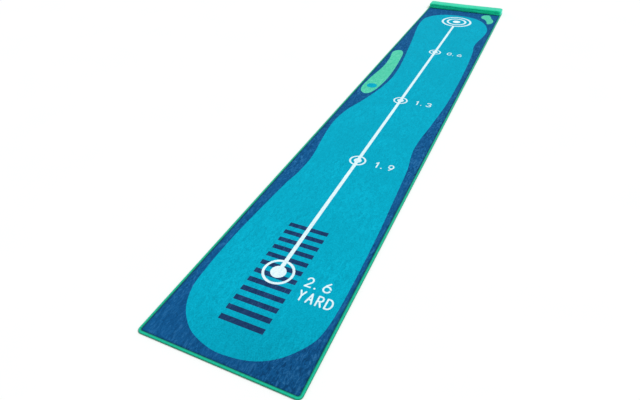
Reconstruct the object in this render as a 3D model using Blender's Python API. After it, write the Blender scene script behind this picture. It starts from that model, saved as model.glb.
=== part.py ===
"""Practice putting mat: a printed pile cloth laminated to a rubber backing, overlocked round its edge,
with a soft foam bumper that hook-and-loop tape holds across its far end.

The mat lies on the floor along Y, with +Z up. The origin is on the floor under the middle of the mat,
and the bumper is at the +Y end. All sizes are in metres.
"""

import math

import bmesh
import bpy
from mathutils import Vector

# The mat, over its edge stitching
MAT_WIDTH = 0.478
MAT_LENGTH = 3.010
CLOTH_THICKNESS = 0.0016
BACKING_THICKNESS = 0.0024

# The overlock yarn that wraps the mat's edge, top and bottom
OVERLOCK_WIDTH = 0.008
OVERLOCK_THICKNESS = 0.0007
OVERLOCK_EDGE_RADIUS = 0.0016
OVERLOCK_INNER_CORNER_RADIUS = 0.007

# The bumper, and the cloth of its cover
BUMPER_DEPTH = 0.080
BUMPER_TOP_ABOVE_FLOOR = 0.033
BUMPER_CORNER_RADIUS = 0.018
BUMPER_TOP_EDGE_RADIUS = 0.004
COVER_THICKNESS = 0.0009
BASE_PANEL_THICKNESS = 0.0008

# The hook-and-loop tapes, one pair near the bumper's front and one near its back
TAPE_WIDTH = 0.020
TAPE_THICKNESS = 0.0008
TAPE_END_MARGIN = 0.012
TAPE_EDGE_MARGIN = 0.006
TAPE_CORNER_RADIUS = 0.003

# Clearance between pieces that touch
TOUCH_GAP = 0.0003

# Smoothness of the round corners
CORNER_STEPS = 8
EDGE_STEPS = 4

# Heights, from the floor up
CLOTH_BOTTOM = BACKING_THICKNESS + TOUCH_GAP
CLOTH_TOP = CLOTH_BOTTOM + CLOTH_THICKNESS
OVERLOCK_TOP = CLOTH_TOP + TOUCH_GAP + OVERLOCK_THICKNESS
BACKING_MARGIN_BOTTOM = OVERLOCK_THICKNESS + TOUCH_GAP
LOOP_TAPE_BOTTOM = CLOTH_TOP + TOUCH_GAP
HOOK_TAPE_BOTTOM = LOOP_TAPE_BOTTOM + TAPE_THICKNESS + TOUCH_GAP
BASE_PANEL_BOTTOM = HOOK_TAPE_BOTTOM + TAPE_THICKNESS + TOUCH_GAP
FOAM_BOTTOM = BASE_PANEL_BOTTOM + BASE_PANEL_THICKNESS + TOUCH_GAP
SIDE_BAND_BOTTOM = OVERLOCK_TOP + TOUCH_GAP
TOP_PANEL_RIM = BUMPER_TOP_ABOVE_FLOOR - BUMPER_TOP_EDGE_RADIUS
SIDE_BAND_TOP = TOP_PANEL_RIM - TOUCH_GAP

# Places along the mat
MAT_CORNER_RADIUS = OVERLOCK_WIDTH + OVERLOCK_INNER_CORNER_RADIUS
LAYER_INSET = OVERLOCK_THICKNESS + TOUCH_GAP
FAR_EDGE = MAT_LENGTH / 2
BUMPER_MIDDLE = FAR_EDGE - BUMPER_DEPTH / 2
TAPE_LENGTH = MAT_WIDTH - 2 * (OVERLOCK_WIDTH + TAPE_END_MARGIN)
FRONT_TAPE = FAR_EDGE - BUMPER_DEPTH + COVER_THICKNESS + TAPE_EDGE_MARGIN + TAPE_WIDTH / 2
REAR_TAPE = FAR_EDGE - OVERLOCK_WIDTH - TAPE_EDGE_MARGIN - TAPE_WIDTH / 2

# Name: colour (linear), roughness
FINISHES = {
    "printed_pile_cloth": ((0.006, 0.393, 0.542), 0.95),
    "rubber_backing": ((0.012, 0.012, 0.013), 0.80),
    "overlock_yarn": ((0.012, 0.440, 0.250), 0.60),
    "bumper_cloth": ((0.020, 0.520, 0.320), 0.90),
    "bumper_foam": ((0.600, 0.590, 0.550), 0.95),
    "hook_tape": ((0.015, 0.015, 0.016), 0.60),
    "loop_tape": ((0.022, 0.022, 0.024), 0.90),
}


def clear_scene():
    """Remove every object that the file opened with."""
    for obj in list(bpy.data.objects):
        bpy.data.objects.remove(obj, do_unlink=True)


def make_material(name):
    """A Principled material with the colour and roughness that FINISHES gives."""
    colour, roughness = FINISHES[name]
    material = bpy.data.materials.new(name)
    material.use_nodes = True
    shader = material.node_tree.nodes["Principled BSDF"]
    shader.inputs["Base Color"].default_value = (*colour, 1.0)
    shader.inputs["Roughness"].default_value = roughness
    shader.inputs["Metallic"].default_value = 0.0
    return material


def make_object(name, shape, material):
    """Turn a bmesh into a named object of the scene, with its faces outward."""
    bmesh.ops.recalc_face_normals(shape, faces=shape.faces)
    mesh = bpy.data.meshes.new(name)
    shape.to_mesh(mesh)
    shape.free()
    mesh.materials.append(material)
    mesh.shade_smooth()
    mesh.set_sharp_from_angle(angle=math.radians(30))
    obj = bpy.data.objects.new(name, mesh)
    bpy.context.scene.collection.objects.link(obj)
    return obj


def rounded_rectangle(width, length, radius, inset=0.0):
    """Outline points, anticlockwise, of a rectangle with round corners that is shrunk by inset."""
    half_x = width / 2 - radius
    half_y = length / 2 - radius
    corners = ((half_x, half_y, 0), (-half_x, half_y, 90), (-half_x, -half_y, 180), (half_x, -half_y, 270))
    points = []
    for centre_x, centre_y, first_angle in corners:
        for step in range(CORNER_STEPS + 1):
            angle = math.radians(first_angle + 90 * step / CORNER_STEPS)
            reach = radius - inset
            points.append((centre_x + reach * math.cos(angle), centre_y + reach * math.sin(angle)))
    return points


def add_loop(shape, outline, height):
    """Add one closed outline at a height, and return its vertices."""
    return [shape.verts.new((x, y, height)) for x, y in outline]


def join_loops(shape, lower, upper):
    """Fill the wall between two outlines that have the same number of points."""
    count = len(lower)
    for index in range(count):
        following = (index + 1) % count
        shape.faces.new((lower[index], lower[following], upper[following], upper[index]))


def stacked_solid(levels):
    """A closed solid through (outline, height) levels, capped at the first and the last one."""
    shape = bmesh.new()
    loops = [add_loop(shape, outline, height) for outline, height in levels]
    for lower, upper in zip(loops, loops[1:]):
        join_loops(shape, lower, upper)
    shape.faces.new(loops[0])
    shape.faces.new(loops[-1])
    return shape


def ring_solid(levels):
    """A closed band through (outline, height) levels whose last one joins its first."""
    shape = bmesh.new()
    loops = [add_loop(shape, outline, height) for outline, height in levels]
    for lower, upper in zip(loops, loops[1:] + loops[:1]):
        join_loops(shape, lower, upper)
    return shape


def mat_outline(inset):
    """The mat's plan, shrunk by inset."""
    return rounded_rectangle(MAT_WIDTH, MAT_LENGTH, MAT_CORNER_RADIUS, inset)


def bumper_outline(inset):
    """The bumper's plan about its own middle, shrunk by inset."""
    return rounded_rectangle(MAT_WIDTH, BUMPER_DEPTH, BUMPER_CORNER_RADIUS, inset)


def build_printed_pile_cloth(material):
    """The printed pile cloth that the ball rolls on."""
    outline = mat_outline(LAYER_INSET)
    shape = stacked_solid([(outline, CLOTH_BOTTOM), (outline, CLOTH_TOP)])
    return make_object("printed_pile_cloth", shape, material)


def build_rubber_backing(material):
    """The rubber underlay. Its margin is thinner underneath, where the overlock yarn sinks into it."""
    foot = mat_outline(OVERLOCK_WIDTH + TOUCH_GAP)
    margin = mat_outline(LAYER_INSET)
    levels = [
        (foot, 0.0),
        (foot, BACKING_MARGIN_BOTTOM),
        (margin, BACKING_MARGIN_BOTTOM),
        (margin, BACKING_THICKNESS),
    ]
    return make_object("rubber_backing", stacked_solid(levels), material)


def overlock_section():
    """(inset, height) points of the yarn's C-shaped section, open towards the mat."""
    arcs = ((OVERLOCK_EDGE_RADIUS, 270, 180), (OVERLOCK_TOP - OVERLOCK_EDGE_RADIUS, 180, 90))
    points = [(OVERLOCK_WIDTH, 0.0)]
    for centre_height, first_angle, last_angle in arcs:
        for step in range(EDGE_STEPS + 1):
            angle = math.radians(first_angle + (last_angle - first_angle) * step / EDGE_STEPS)
            inset = OVERLOCK_EDGE_RADIUS * (1 + math.cos(angle))
            height = centre_height + OVERLOCK_EDGE_RADIUS * math.sin(angle)
            points.append((inset, height))
    slot_top = OVERLOCK_TOP - OVERLOCK_THICKNESS
    points += [
        (OVERLOCK_WIDTH, OVERLOCK_TOP),
        (OVERLOCK_WIDTH, slot_top),
        (OVERLOCK_THICKNESS, slot_top),
        (OVERLOCK_THICKNESS, OVERLOCK_THICKNESS),
        (OVERLOCK_WIDTH, OVERLOCK_THICKNESS),
    ]
    return points


def overlock_run(run_length):
    """One side's yarn, from the middle of one corner to the middle of the next.

    The run lies along X with its outer edge at y = 0 and the mat towards +Y. Each end is cut square
    across the corner's diagonal, half a touch gap short of it.
    """
    shape = bmesh.new()
    section = overlock_section()
    corner_x = run_length / 2 - MAT_CORNER_RADIUS
    rings = []
    for side in (-1, 1):
        for step in range(CORNER_STEPS + 1):
            along = step / CORNER_STEPS if side < 0 else 1 - step / CORNER_STEPS
            ring = []
            for inset, height in section:
                reach = MAT_CORNER_RADIUS - inset
                end_turn = math.radians(45) - math.asin(TOUCH_GAP / 2 / reach)
                turn = end_turn * (1 - along)
                x = side * (corner_x + reach * math.sin(turn))
                y = MAT_CORNER_RADIUS - reach * math.cos(turn)
                ring.append(shape.verts.new((x, y, height)))
            rings.append(ring)
    for ring, following in zip(rings, rings[1:]):
        join_loops(shape, ring, following)
    shape.faces.new(rings[0])
    shape.faces.new(rings[-1])
    return shape


def build_overlock(material):
    """The overlock yarn, as one run for each side of the mat."""
    sides = (
        ("edge_overlock_near", MAT_WIDTH, (0, -MAT_LENGTH / 2, 0), 0),
        ("edge_overlock_right", MAT_LENGTH, (MAT_WIDTH / 2, 0, 0), 90),
        ("edge_overlock_far", MAT_WIDTH, (0, MAT_LENGTH / 2, 0), 180),
        ("edge_overlock_left", MAT_LENGTH, (-MAT_WIDTH / 2, 0, 0), 270),
    )
    for name, run_length, place, turn in sides:
        run = make_object(name, overlock_run(run_length), material)
        run.location = place
        run.rotation_euler.z = math.radians(turn)


def build_tape(name, middle, bottom, material):
    """One woven tape strip across the mat, at a place along it and a height above the floor."""
    outline = rounded_rectangle(TAPE_LENGTH, TAPE_WIDTH, TAPE_CORNER_RADIUS)
    shape = stacked_solid([(outline, 0.0), (outline, TAPE_THICKNESS)])
    tape = make_object(name, shape, material)
    tape.location = (0.0, middle, bottom)
    return tape


def quarter_turn(radius, inset, rim_height):
    """(outline, height) levels that round a bumper edge over, from its rim up and inwards."""
    levels = []
    for step in range(EDGE_STEPS + 1):
        angle = math.radians(90 * step / EDGE_STEPS)
        outline = bumper_outline(inset + radius * (1 - math.cos(angle)))
        levels.append((outline, rim_height + radius * math.sin(angle)))
    return levels


def build_bumper_foam_core(material):
    """The foam block that stops the ball, with round corners and a rounded top edge."""
    inset = COVER_THICKNESS + TOUCH_GAP
    radius = BUMPER_TOP_EDGE_RADIUS - inset
    levels = [(bumper_outline(inset), FOAM_BOTTOM)]
    levels += quarter_turn(radius, inset, TOP_PANEL_RIM)
    return make_object("bumper_foam_core", stacked_solid(levels), material)


def build_bumper_top_panel(material):
    """The cover's top cloth, which turns down over the foam's edge to the seam."""
    inner_radius = BUMPER_TOP_EDGE_RADIUS - COVER_THICKNESS
    inner = quarter_turn(inner_radius, COVER_THICKNESS, TOP_PANEL_RIM)
    outer = quarter_turn(BUMPER_TOP_EDGE_RADIUS, 0.0, TOP_PANEL_RIM)
    return make_object("bumper_top_panel", stacked_solid(inner[::-1] + outer), material)


def build_bumper_side_band(material):
    """The cover's side cloth, one strip all the way round the foam."""
    outer = bumper_outline(0.0)
    inner = bumper_outline(COVER_THICKNESS)
    levels = [
        (outer, SIDE_BAND_BOTTOM),
        (outer, SIDE_BAND_TOP),
        (inner, SIDE_BAND_TOP),
        (inner, SIDE_BAND_BOTTOM),
    ]
    return make_object("bumper_side_band", ring_solid(levels), material)


def build_bumper_base_panel(material):
    """The cover's flat underside, which the hook tapes are sewn to."""
    outline = bumper_outline(COVER_THICKNESS + TOUCH_GAP)
    levels = [(outline, BASE_PANEL_BOTTOM), (outline, BASE_PANEL_BOTTOM + BASE_PANEL_THICKNESS)]
    return make_object("bumper_base_panel", stacked_solid(levels), material)


def build_bumper(materials):
    """The bumper's pieces, all carried by one empty on the line along which the bumper lifts."""
    carrier = bpy.data.objects.new("bumper_carrier", None)
    carrier.location = (0.0, BUMPER_MIDDLE, 0.0)
    bpy.context.scene.collection.objects.link(carrier)
    pieces = [
        build_bumper_foam_core(materials["bumper_foam"]),
        build_bumper_top_panel(materials["bumper_cloth"]),
        build_bumper_side_band(materials["bumper_cloth"]),
        build_bumper_base_panel(materials["bumper_cloth"]),
    ]
    for piece in pieces:
        piece.parent = carrier
    for name, middle in (("hook_tape_front", FRONT_TAPE), ("hook_tape_rear", REAR_TAPE)):
        tape = build_tape(name, middle, HOOK_TAPE_BOTTOM, materials["hook_tape"])
        tape.parent = carrier
        tape.location -= Vector((0.0, BUMPER_MIDDLE, 0.0))


def build_mat(materials):
    """The mat itself, with the loop tapes that are sewn to its far end."""
    build_printed_pile_cloth(materials["printed_pile_cloth"])
    build_rubber_backing(materials["rubber_backing"])
    build_overlock(materials["overlock_yarn"])
    build_tape("loop_tape_front", FRONT_TAPE, LOOP_TAPE_BOTTOM, materials["loop_tape"])
    build_tape("loop_tape_rear", REAR_TAPE, LOOP_TAPE_BOTTOM, materials["loop_tape"])


def main():
    """Clear the scene and build the mat and its bumper."""
    clear_scene()
    materials = {name: make_material(name) for name in FINISHES}
    build_mat(materials)
    build_bumper(materials)


main()
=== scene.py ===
"""Dresses the practice putting mat: printed velour pile on a rubber underlay, an overlocked yarn edge, and a
velour-covered foam bumper that hook-and-loop tape holds across the far end.

Lengths are in metres. The mat lies along Y with the putting end at -Y, and X is across it.
"""

import logging
import math
from dataclasses import dataclass
from enum import Enum
from typing import Any, Iterable, Sequence

import bmesh
import bpy
import numpy as np
from mathutils import Matrix, Vector, kdtree, noise
from mathutils.geometry import delaunay_2d_cdt


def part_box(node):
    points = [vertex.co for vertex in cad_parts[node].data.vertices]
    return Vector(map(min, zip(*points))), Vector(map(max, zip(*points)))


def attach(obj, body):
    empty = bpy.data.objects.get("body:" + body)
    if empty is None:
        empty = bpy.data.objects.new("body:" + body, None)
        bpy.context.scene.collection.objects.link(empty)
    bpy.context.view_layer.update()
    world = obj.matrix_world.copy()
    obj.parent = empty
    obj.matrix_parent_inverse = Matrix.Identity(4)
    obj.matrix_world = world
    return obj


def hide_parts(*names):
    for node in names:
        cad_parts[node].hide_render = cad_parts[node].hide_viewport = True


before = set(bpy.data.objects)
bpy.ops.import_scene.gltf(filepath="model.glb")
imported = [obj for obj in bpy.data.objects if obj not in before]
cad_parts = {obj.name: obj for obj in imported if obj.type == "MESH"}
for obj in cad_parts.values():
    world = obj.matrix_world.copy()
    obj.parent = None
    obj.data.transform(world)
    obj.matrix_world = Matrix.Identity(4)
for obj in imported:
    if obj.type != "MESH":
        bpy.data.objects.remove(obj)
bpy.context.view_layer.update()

MM = 0.001
YARD = 0.9144
LOG = logging.getLogger("putting_mat")

Point = tuple[float, float]
Rgba = tuple[float, float, float, float]


class Body(Enum):
    """The two bodies that the pieces ride on."""

    MAT = "mat"
    BUMPER = "bumper"


class Slot(Enum):
    """The names of the record's material slots."""

    CLOTH = "printed_pile_cloth"
    RUBBER = "rubber_backing"
    YARN = "overlock_yarn"
    LOOP = "loop_tape"
    HOOK = "hook_tape"
    FOAM = "bumper_foam"
    COVER = "bumper_cloth"


# ---------------------------------------------------------------------------------------------------------
# Nodes, meshes and pieces
# ---------------------------------------------------------------------------------------------------------


def colour(code: str) -> Rgba:
    """Turn an sRGB hex colour into the linear colour that a shader takes.

    Args:
        code: the colour, such as "#0AA3B8".

    Returns:
        Linear red, green and blue, and an alpha of 1.
    """
    parts = [int(code[i : i + 2], 16) / 255 for i in (1, 3, 5)]
    red, green, blue = (c / 12.92 if c <= 0.04045 else ((c + 0.055) / 1.055) ** 2.4 for c in parts)
    return red, green, blue, 1.0


def add(
    tree: bpy.types.NodeTree, kind: str, inputs: dict[int | str, Any] | None = None, **settings: Any
) -> bpy.types.Node:
    """Add one node to a shader or geometry tree, with its settings, values and links.

    Args:
        tree: the tree that gets the node.
        kind: the node's type, such as "ShaderNodeTexNoise".
        inputs: for each input, by name or number, a value, a socket, or a node whose first output is used.
        settings: the node's own properties.

    Returns:
        The new node.
    """
    made = tree.nodes.new(kind)
    for name, value in settings.items():
        setattr(made, name, value)
    for key, value in (inputs or {}).items():
        named = (each for each in made.inputs if each.enabled and each.name == key)
        socket = made.inputs[key] if isinstance(key, int) else next(named)
        if isinstance(value, bpy.types.Node):
            value = next(each for each in value.outputs if each.enabled)
        if isinstance(value, bpy.types.NodeSocket):
            tree.links.new(value, socket)
        else:
            socket.default_value = value
    return made


def remap(tree: bpy.types.NodeTree, value: Any, low: float, high: float, least: float, most: float) -> Any:
    """Map a value from one range to another, such as a noise to a roughness, and return the node."""
    return add(tree, "ShaderNodeMapRange", {0: value, 1: low, 2: high, 3: least, 4: most})


def shaded(tree: bpy.types.NodeTree, tint: Any, share: Any) -> Any:
    """Scale a colour by a share, which keeps its hue, and return the node."""
    return add(tree, "ShaderNodeVectorMath", {0: tint, "Scale": share}, operation="SCALE")


def blend(tree: bpy.types.NodeTree, share: Any, first: Any, second: Any) -> Any:
    """Mix two colours by a share, and return the node."""
    return add(tree, "ShaderNodeMix", {0: share, "A": first, "B": second}, data_type="RGBA")


def new_mesh(name: str, points: Sequence[Sequence[float]], faces: Sequence[Sequence[int]]) -> bpy.types.Mesh:
    """Make a mesh from points and faces, with its faces turned outwards.

    Args:
        name: the mesh's name.
        points: the vertices, in metres.
        faces: the faces, as numbers of the points.

    Returns:
        The mesh.
    """
    mesh = bpy.data.meshes.new(name)
    mesh.from_pydata([tuple(p) for p in points], [], [tuple(f) for f in faces])
    shape = bmesh.new()
    shape.from_mesh(mesh)
    bmesh.ops.recalc_face_normals(shape, faces=shape.faces)
    shape.to_mesh(mesh)
    shape.free()
    return mesh


def new_object(name: str, mesh: bpy.types.Mesh) -> bpy.types.Object:
    """Put a mesh in the scene as an object at the origin."""
    made = bpy.data.objects.new(name, mesh)
    bpy.context.scene.collection.objects.link(made)
    return made


def object_from(name: str, shape: bmesh.types.BMesh) -> bpy.types.Object:
    """Turn an edited shape into an object at the origin, and free the shape."""
    mesh = bpy.data.meshes.new(name)
    shape.to_mesh(mesh)
    shape.free()
    return new_object(name, mesh)


def discard(*objects: bpy.types.Object) -> None:
    """Remove helper objects from the scene."""
    for each in objects:
        bpy.data.objects.remove(each, do_unlink=True)


def finish_piece(
    piece: bpy.types.Object, body: Body, replaces: Sequence[str] = (), crease: float | None = 40.0
) -> bpy.types.Object:
    """Shade a finished piece, tie it to its body and hide the CAD nodes that it stands for.

    Args:
        piece: the finished object, at the origin.
        body: the body that it moves with.
        replaces: the CAD nodes that it stands for.
        crease: the angle in degrees past which an edge stays sharp, or None to keep its shading.

    Returns:
        The same piece.
    """
    if crease is not None:
        piece.data.shade_smooth()
        piece.data.set_sharp_from_angle(angle=math.radians(crease))
    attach(piece, body.value)
    if replaces:
        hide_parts(*replaces)
    LOG.info("%s: %d faces, on %s", piece.name, len(piece.data.polygons), body.value)
    return piece


def wave(point: Sequence[float], spacing: float, seed: float) -> float:
    """A smooth, repeatable unevenness between about -1 and 1.

    Args:
        point: the place, in metres.
        spacing: the usual distance between its bumps, in metres.
        seed: a number that picks one pattern out of many.

    Returns:
        The unevenness at that place.
    """
    return noise.noise(Vector(point) / spacing + Vector((seed, 2.7 * seed, -seed)))


def smooth_step(low: float, high: float, value: float) -> float:
    """Rise smoothly from 0 at low to 1 at high."""
    t = min(1.0, max(0.0, (value - low) / (high - low)))
    return t * t * (3 - 2 * t)


# ---------------------------------------------------------------------------------------------------------
# Finishes
# ---------------------------------------------------------------------------------------------------------


class Ink(Enum):
    """The dyes of the print: the colour itself, the pile where it leans away, and where it catches light."""

    SURROUND = ("#10568E", "#07355F", "#3D82B6")
    FAIRWAY = ("#00A6C3", "#0092AD", "#0BB6D2")
    GREEN = ("#52CCAA", "#3DB694", "#86DBC2")
    BARS = ("#1B3B66", "#102A4E", "#3A5C84")
    WHITE = ("#DDF3F9", "#C6E7EF", "#F4FCFF")

    @property
    def colours(self) -> tuple[Rgba, Rgba, Rgba]:
        """The plain, the deep and the pale tone, in linear colour."""
        plain, deep, pale = self.value
        return colour(plain), colour(deep), colour(pale)


@dataclass(frozen=True)
class Draft:
    """A material being built: its node tree, its shader and the coordinates that its patterns are drawn on.

    Attributes:
        material: the material.
        tree: its node tree.
        shader: its Principled shader.
        place: the piece's own coordinates, in metres.
    """

    material: bpy.types.Material
    tree: bpy.types.NodeTree
    shader: bpy.types.Node
    place: bpy.types.NodeSocket

    @classmethod
    def start(cls, name: str, **constants: Any) -> "Draft":
        """Begin a material.

        Args:
            name: the material's name.
            constants: shader inputs that are the same all over, by name, with underscores for spaces.

        Returns:
            The draft, with nothing but those values on its shader.
        """
        material = bpy.data.materials.new(name)
        material.use_nodes = True
        shader = material.node_tree.nodes["Principled BSDF"]
        for key, value in constants.items():
            shader.inputs[key.replace("_", " ")].default_value = value
        place = add(material.node_tree, "ShaderNodeTexCoord").outputs["Object"]
        return cls(material, material.node_tree, shader, place)

    def finish(
        self, tint: bpy.types.Node, roughness: bpy.types.Node, height: bpy.types.Node, relief: float
    ) -> bpy.types.Material:
        """Link what varies over the surface to the shader.

        Args:
            tint: the node that gives the colour.
            roughness: the node that gives the roughness.
            height: the node that gives the height of the fine relief.
            relief: how far that relief stands up, in metres.

        Returns:
            The finished material.
        """
        bump = add(self.tree, "ShaderNodeBump", {"Height": height, "Strength": 0.6, "Distance": relief})
        for socket, source in (("Base Color", tint), ("Roughness", roughness), ("Normal", bump)):
            self.tree.links.new(next(o for o in source.outputs if o.enabled), self.shader.inputs[socket])
        return self.material


@dataclass(frozen=True)
class VelourPile:
    """Warp-knitted polyester velour, sheared to a short dense pile.

    It scatters light with a soft pale sheen at a grazing view, and marks where the nap was brushed one way
    show darker and lighter.

    Attributes:
        name: the material's name.
        tones: its plain, deep and pale colours.
        fibre: the size of the fibre speckle, drawn coarser than the real 0.1 mm so that it shows.
        nap_mark: how wide a brushed mark is.
        stretch: how many times longer than wide a brushed mark is, along Y.
        cloud: how wide the slow changes of tone are.
        contrast: how strongly the brushed marks show, from 0 to 1.
        sheen: the weight of the sheen.
        sheen_tint: the sheen's colour.
    """

    name: str
    tones: tuple[Rgba, Rgba, Rgba]
    fibre: float = 3.5 * MM
    nap_mark: float = 8 * MM
    stretch: float = 3.0
    cloud: float = 190 * MM
    contrast: float = 0.7
    sheen: float = 0.01
    sheen_tint: str = "#BFE6F2"

    def build(self) -> bpy.types.Material:
        """Build the material. A point attribute on the mesh darkens it: painted shade along the hem, a
        painted contact shadow in front of the bumper and painted shade towards the near end.
        """
        plain, deep, pale = self.tones
        draft = Draft.start(
            self.name,
            Specular_IOR_Level=0.05,
            Sheen_Weight=self.sheen,
            Sheen_Roughness=0.5,
            Sheen_Tint=colour(self.sheen_tint),
        )
        tree, place = draft.tree, draft.place
        clouds = add(tree, "ShaderNodeTexNoise", {"Vector": place, "Scale": 1 / self.cloud, "Detail": 3.0})
        squash = (1, 1 / self.stretch, 1)
        lengthened = add(tree, "ShaderNodeVectorMath", {0: place, 1: squash}, operation="MULTIPLY")
        marks = add(
            tree,
            "ShaderNodeTexNoise",
            {
                "Vector": lengthened,
                "Scale": 1 / self.nap_mark,
                "Detail": 4.0,
                "Roughness": 0.62,
                "Distortion": 1.2,
            },
        )
        fibres = add(tree, "ShaderNodeTexNoise", {"Vector": place, "Scale": 1 / self.fibre, "Detail": 2.0})
        brushed = remap(tree, clouds, 0.38, 0.62, 0.35, self.contrast)
        leaning = add(tree, "ShaderNodeMapRange", {0: marks, 1: 0.49, 2: 0.62})
        leaning = add(tree, "ShaderNodeMath", {0: leaning, 1: brushed}, operation="MULTIPLY")
        raised = add(tree, "ShaderNodeMapRange", {0: marks, 1: 0.47, 2: 0.36, 4: 0.7})
        raised = add(tree, "ShaderNodeMath", {0: raised, 1: brushed}, operation="MULTIPLY")
        tint = blend(tree, leaning, plain, deep)
        tint = blend(tree, raised, tint, pale)
        # Painted shade: this attribute darkens the pile along the hem, in front of the bumper's foot and
        # towards the near end.
        hem = add(tree, "ShaderNodeAttribute", attribute_name="hem_shade").outputs["Fac"]
        for value, low, high, darkest, palest in (
            (fibres, 0.3, 0.7, 0.86, 1.14),
            (clouds, 0.3, 0.7, 0.95, 1.05),
            (hem, 0.0, 1.0, 1.0, 0.45),
        ):
            share = remap(tree, value, low, high, darkest, palest)
            tint = shaded(tree, tint, share)
        roughness = remap(tree, fibres, 0.3, 0.7, 0.98, 0.84)
        height = add(tree, "ShaderNodeMath", {0: fibres, 1: marks}, operation="ADD")
        return draft.finish(tint, roughness, height, relief=0.5 * MM)


@dataclass(frozen=True)
class OverlockYarn:
    """Textured polyester overlock yarn: bulky, slightly glossy filaments, with painted shade that darkens the
    flanks and leaves the crown paler.

    Attributes:
        crown: the colour along the top of the edge.
        flank: the painted shade colour, where the yarn turns down.
        filament: the spacing of the filament streaks, drawn coarser than the real 0.05 mm.
    """

    crown: str = "#00BA97"
    flank: str = "#007F55"
    filament: float = 0.5 * MM

    def build(self) -> bpy.types.Material:
        """Build the material. The mesh's "flank" attribute lays on the painted shade, and its "strand"
        attribute varies each turn's tone.
        """
        draft = Draft.start(
            "overlock_yarn_textured_polyester",
            Specular_IOR_Level=0.2,
            Sheen_Weight=0.5,
            Sheen_Roughness=0.45,
            Sheen_Tint=colour("#9CF4FF"),
        )
        tree = draft.tree
        flank = add(tree, "ShaderNodeAttribute", attribute_name="flank").outputs["Fac"]
        strand = add(tree, "ShaderNodeAttribute", attribute_name="strand").outputs["Fac"]
        streaks = add(
            tree,
            "ShaderNodeTexNoise",
            {
                "Vector": draft.place,
                "Scale": 1 / self.filament,
                "Detail": 3.0,
                "Roughness": 0.6,
                "Distortion": 0.6,
            },
        )
        # Painted shade: the crown colour darkens towards the flank colour down the flanks.
        tint = blend(tree, flank, colour(self.crown), colour(self.flank))
        for value, low, high, darkest, palest in (
            (strand, 0.0, 1.0, 0.9, 1.1),
            (streaks, 0.3, 0.7, 0.82, 1.15),
        ):
            share = remap(tree, value, low, high, darkest, palest)
            tint = shaded(tree, tint, share)
        roughness = remap(tree, streaks, 0.3, 0.7, 0.8, 0.5)
        return draft.finish(tint, roughness, streaks, relief=0.2 * MM)


@dataclass(frozen=True)
class FoamedRubber:
    """Foamed nitrile rubber: black and matt, with open pores that hold a little talc.

    Attributes:
        pore: the size of the foam's pores.
        wear: how wide the scuffed patches are.
    """

    pore: float = 0.8 * MM
    wear: float = 45 * MM

    def build(self) -> bpy.types.Material:
        """Build the material."""
        draft = Draft.start("foamed_nitrile_rubber", Specular_IOR_Level=0.3)
        tree, place = draft.tree, draft.place
        pores = add(tree, "ShaderNodeTexVoronoi", {"Vector": place, "Scale": 1 / self.pore})
        scuffs = add(tree, "ShaderNodeTexNoise", {"Vector": place, "Scale": 1 / self.wear, "Detail": 6.0})
        talc = remap(tree, pores, 0.0, 0.5, 0.5, 0.0)
        tint = blend(tree, talc, colour("#1A1B1C"), colour("#3A3B3B"))
        share = remap(tree, scuffs, 0.3, 0.7, 0.8, 1.3)
        tint = shaded(tree, tint, share)
        roughness = remap(tree, scuffs, 0.3, 0.7, 0.92, 0.72)
        return draft.finish(tint, roughness, pores, relief=0.3 * MM)


@dataclass(frozen=True)
class NylonTape:
    """Woven nylon fastening tape: black, with a fine plain weave and stiff or brushed filaments on it.

    Attributes:
        name: the material's name.
        tint: its colour.
        gloss: its lowest roughness. Moulded hooks are glossier than brushed loops.
        thread: the weave's thread spacing.
    """

    name: str
    tint: str
    gloss: float
    thread: float = 0.7 * MM

    def build(self) -> bpy.types.Material:
        """Build the material."""
        draft = Draft.start(self.name, Specular_IOR_Level=0.5, Sheen_Weight=0.2, Sheen_Roughness=0.4)
        tree, place = draft.tree, draft.place
        bands = {"Vector": place, "Scale": math.tau / 20 / self.thread, "Distortion": 0.4, "Detail": 1.0}
        warp, weft = (
            add(tree, "ShaderNodeTexWave", bands, wave_type="BANDS", bands_direction=axis).outputs["Fac"]
            for axis in ("X", "Y")
        )
        crossings = add(tree, "ShaderNodeMath", {0: warp, 1: weft}, operation="MULTIPLY")
        fluff = add(tree, "ShaderNodeTexNoise", {"Vector": place, "Scale": 1 / (3 * MM), "Detail": 5.0})
        weave = add(tree, "ShaderNodeMapRange", {0: crossings, 3: 0.6, 4: 1.3})
        tint = shaded(tree, colour(self.tint)[:3], weave)
        share = remap(tree, fluff, 0.3, 0.7, 0.7, 1.4)
        tint = shaded(tree, tint, share)
        dull = self.gloss + 0.25
        roughness = remap(tree, fluff, 0.3, 0.7, self.gloss, dull)
        return draft.finish(tint, roughness, crossings, relief=0.2 * MM)


@dataclass(frozen=True)
class SewingThread:
    """Spun polyester sewing thread: two plies twisted together, which shows as slanted light and dark bands.

    Attributes:
        name: the material's name.
        light: the colour on the plies.
        dark: the colour between them.
        twist: the spacing of the twist.
    """

    name: str
    light: str
    dark: str
    twist: float = 0.8 * MM

    def build(self) -> bpy.types.Material:
        """Build the material."""
        draft = Draft.start(self.name, Specular_IOR_Level=0.4, Sheen_Weight=0.2)
        tree = draft.tree
        plies = add(
            tree,
            "ShaderNodeTexWave",
            {"Vector": draft.place, "Scale": math.tau / 20 / self.twist, "Distortion": 0.5},
            wave_type="BANDS",
            bands_direction="DIAGONAL",
        ).outputs["Fac"]
        tint = blend(tree, plies, colour(self.dark), colour(self.light))
        roughness = add(tree, "ShaderNodeMapRange", {0: plies, 3: 0.8, 4: 0.5})
        height = add(tree, "ShaderNodeMath", {0: plies, 1: 1.0}, operation="MULTIPLY")
        return draft.finish(tint, roughness, height, relief=0.15 * MM)


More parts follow.
